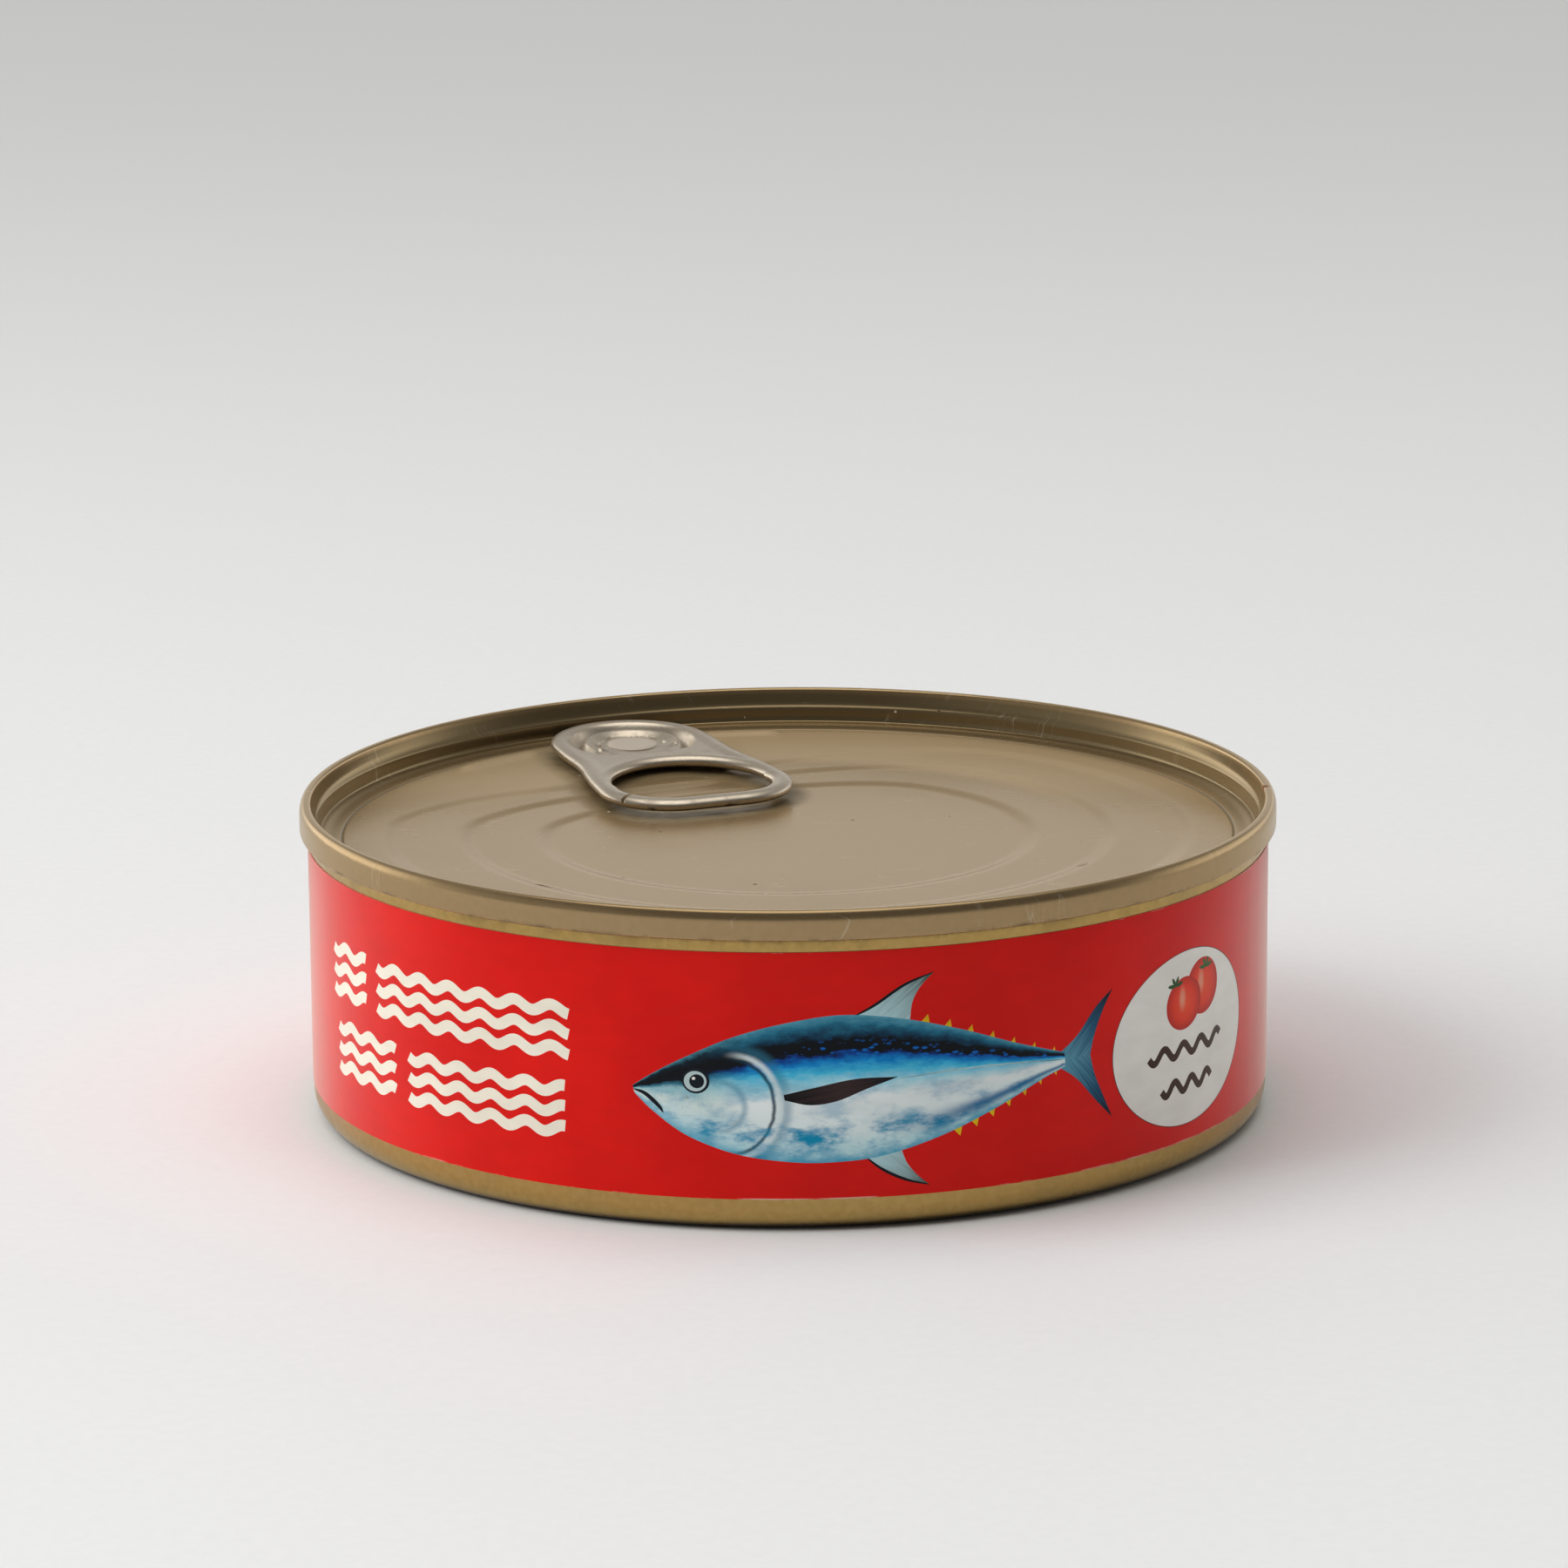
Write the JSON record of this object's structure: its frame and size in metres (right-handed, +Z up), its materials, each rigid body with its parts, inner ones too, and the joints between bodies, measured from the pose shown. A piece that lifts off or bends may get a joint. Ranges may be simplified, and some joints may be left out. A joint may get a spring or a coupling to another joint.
{
  "type": "food can with easy-open lid",
  "caption": "Shut round tin of fish: low drawn steel can with a paper label, an easy-open stepped lid inside a folded seam, and a riveted pull tab.",
  "frame": {"origin": "centre of the can at the surface that it stands on", "axes": "+Z up along the can's axis; -Y towards the front of the label; the tab is at the back, 26 degrees from +Y towards -X"},
  "size_m": [0.1006, 0.1006, 0.0324],
  "materials": {
    "can_metal": "gold-lacquered tinplate, satin, slightly stained",
    "lid_metal": "clear-lacquered steel, glossy, with fine scratches and dust",
    "tab_metal": "bright satin steel",
    "label_paper": "coated paper printed in flat inks, semi-gloss"
  },
  "bodies": {
    "root": {"can_body": "can_metal", "lid": "lid_metal", "pull_tab": "tab_metal", "label": "label_paper"}
  },
  "joints": []
}
